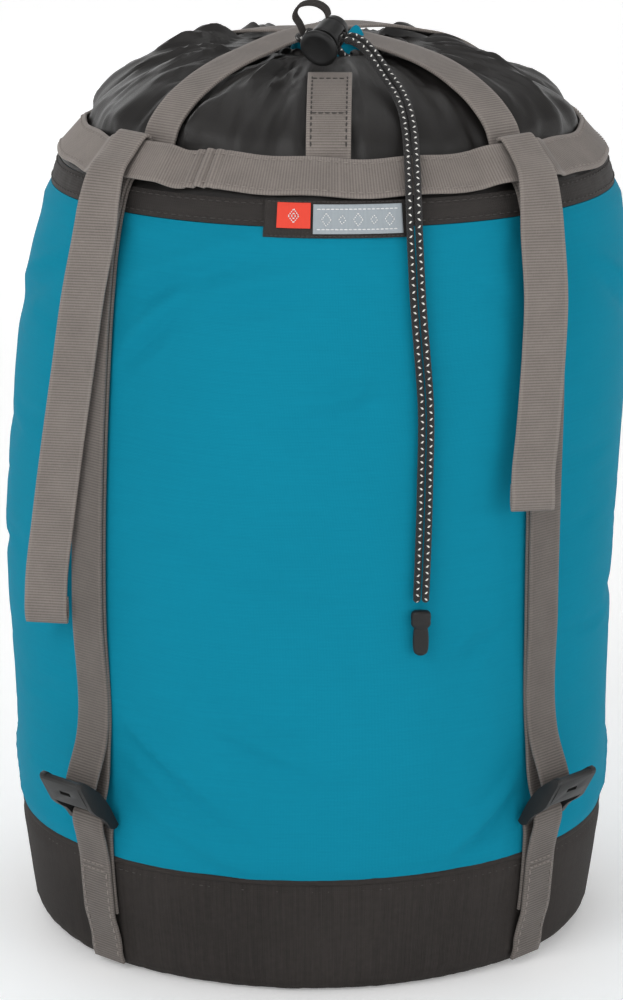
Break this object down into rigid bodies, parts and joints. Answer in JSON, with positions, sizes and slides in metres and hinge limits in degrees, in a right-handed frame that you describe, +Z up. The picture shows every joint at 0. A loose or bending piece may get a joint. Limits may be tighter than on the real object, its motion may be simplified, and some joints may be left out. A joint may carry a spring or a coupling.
{
  "type": "compression stuff sack",
  "caption": "Round fabric stuff sack with a drawcord mouth, compression straps through ladder locks, loose strap tails and a cord lock.",
  "frame": {"origin": "centre of the flat base, on the surface the sack stands on", "axes": "+Z up through the mouth, -Y to the front with the label, +X to the right seen from the front"},
  "size_m": [0.2149, 0.2106, 0.3362],
  "materials": {
    "fabric_teal": "satin coated nylon",
    "fabric_black": "matte ripstop nylon",
    "webbing_black": "ribbed tape",
    "label_red": "woven label",
    "label_grey": "woven label",
    "plastic_black": "moulded acetal",
    "cord_black": "braided cord with pale flecks",
    "spring_steel": "drawn wire",
    "webbing_grey": "ribbed webbing"
  },
  "bodies": {
    "base": {"base_disc": "fabric_black", "bottom_band": "fabric_black", "body_panel": "fabric_teal", "anchor_strap_front_left": "webbing_grey", "strap_run_front_left": "webbing_grey", "anchor_strap_front_right": "webbing_grey", "strap_run_front_right": "webbing_grey", "anchor_strap_back_left": "webbing_grey", "strap_run_back_left": "webbing_grey", "anchor_strap_back_right": "webbing_grey", "strap_run_back_right": "webbing_grey"},
    "top": {"hem_tape": "fabric_black", "ring_webbing": "webbing_grey", "collar": "fabric_black", "cord_casing": "fabric_black", "cross_strap_a": "webbing_grey", "cross_strap_b": "webbing_grey", "front_tab": "webbing_grey", "label_backing": "fabric_black", "label_red_tab": "label_red", "label_grey_patch": "label_grey", "drawcord_loop": "cord_black", "cord_strand_left": "cord_black", "cord_strand_right": "cord_black"},
    "lock_front_left": {"ladder_lock_front_left": "plastic_black"},
    "tail_front_left": {"strap_tail_front_left": "webbing_grey"},
    "lock_front_right": {"ladder_lock_front_right": "plastic_black"},
    "tail_front_right": {"strap_tail_front_right": "webbing_grey"},
    "lock_back_left": {"ladder_lock_back_left": "plastic_black"},
    "tail_back_left": {"strap_tail_back_left": "webbing_grey"},
    "lock_back_right": {"ladder_lock_back_right": "plastic_black"},
    "tail_back_right": {"strap_tail_back_right": "webbing_grey"},
    "dust_flap": {"dust_flap": "fabric_teal"},
    "cord_lock": {"cord_lock_barrel": "plastic_black", "cord_lock_spring": "spring_steel", "grab_loop": "webbing_black"},
    "cord_button": {"cord_lock_plunger": "plastic_black"},
    "cord_end": {"cord_end": "plastic_black"}
  },
  "joints": [
    {"name": "compress", "type": "slide", "parent": "base", "child": "top", "axis": [0, 0, -1], "range_m": [0, 0.05], "deforming": ["body_panel", "strap_run_front_left", "strap_run_front_right", "strap_run_back_left", "strap_run_back_right"]},
    {"name": "lock_tilt_front_left", "type": "hinge", "parent": "base", "child": "lock_front_left", "pos_m": [-0.0771, -0.07577, 0.057], "axis": [0.7009, -0.7133, 0], "range_deg": [-22, 35]},
    {"name": "tail_swing_front_left", "type": "hinge", "parent": "top", "child": "tail_front_left", "pos_m": [-0.05991, -0.05656, 0.29279], "axis": [-0.6428, 0.766, 0], "range_deg": [0, 70]},
    {"name": "lock_tilt_front_right", "type": "hinge", "parent": "base", "child": "lock_front_right", "pos_m": [0.07906, -0.07372, 0.057], "axis": [0.682, 0.7314, 0], "range_deg": [-22, 35]},
    {"name": "tail_swing_front_right", "type": "hinge", "parent": "top", "child": "tail_front_right", "pos_m": [0.06638, -0.0654, 0.29279], "axis": [-0.7431, -0.6691, 0], "range_deg": [0, 70]},
    {"name": "lock_tilt_back_left", "type": "hinge", "parent": "base", "child": "lock_back_left", "pos_m": [-0.07509, 0.07776, 0.057], "axis": [-0.7193, -0.6947, 0], "range_deg": [-22, 35]},
    {"name": "tail_swing_back_left", "type": "hinge", "parent": "top", "child": "tail_back_left", "pos_m": [-0.05363, 0.0633, 0.29279], "axis": [0.7193, 0.6947, 0], "range_deg": [0, 70]},
    {"name": "lock_tilt_back_right", "type": "hinge", "parent": "base", "child": "lock_back_right", "pos_m": [0.07509, 0.07776, 0.057], "axis": [-0.7193, 0.6947, 0], "range_deg": [-22, 35]},
    {"name": "tail_swing_back_right", "type": "hinge", "parent": "top", "child": "tail_back_right", "pos_m": [0.06863, 0.0633, 0.29279], "axis": [0.7193, -0.6947, 0], "range_deg": [0, 70]},
    {"name": "dust_flap_fold", "type": "hinge", "parent": "top", "child": "dust_flap", "pos_m": [0.0075, 0.0246, 0.3046], "axis": [1, 0, 0], "range_deg": [0, 75]},
    {"name": "cord_lock_slide", "type": "slide", "parent": "top", "child": "cord_lock", "axis": [0.8906, -0.4548, -0.004], "range_m": [0, 0.012], "deforming": ["drawcord_loop", "cord_strand_left", "cord_strand_right"]},
    {"name": "cord_button_press", "type": "slide", "parent": "cord_lock", "child": "cord_button", "axis": [0.4198, 0.8196, 0.3898], "range_m": [0, 0.0022], "stiffness_N_per_m": 700, "springref_m": -0.001, "deforming": ["cord_lock_spring"]},
    {"name": "cord_end_swing", "type": "hinge", "parent": "top", "child": "cord_end", "pos_m": [0.035, -0.1025, 0.135], "axis": [0, 1, 0], "range_deg": [-35, 35]}
  ]
}
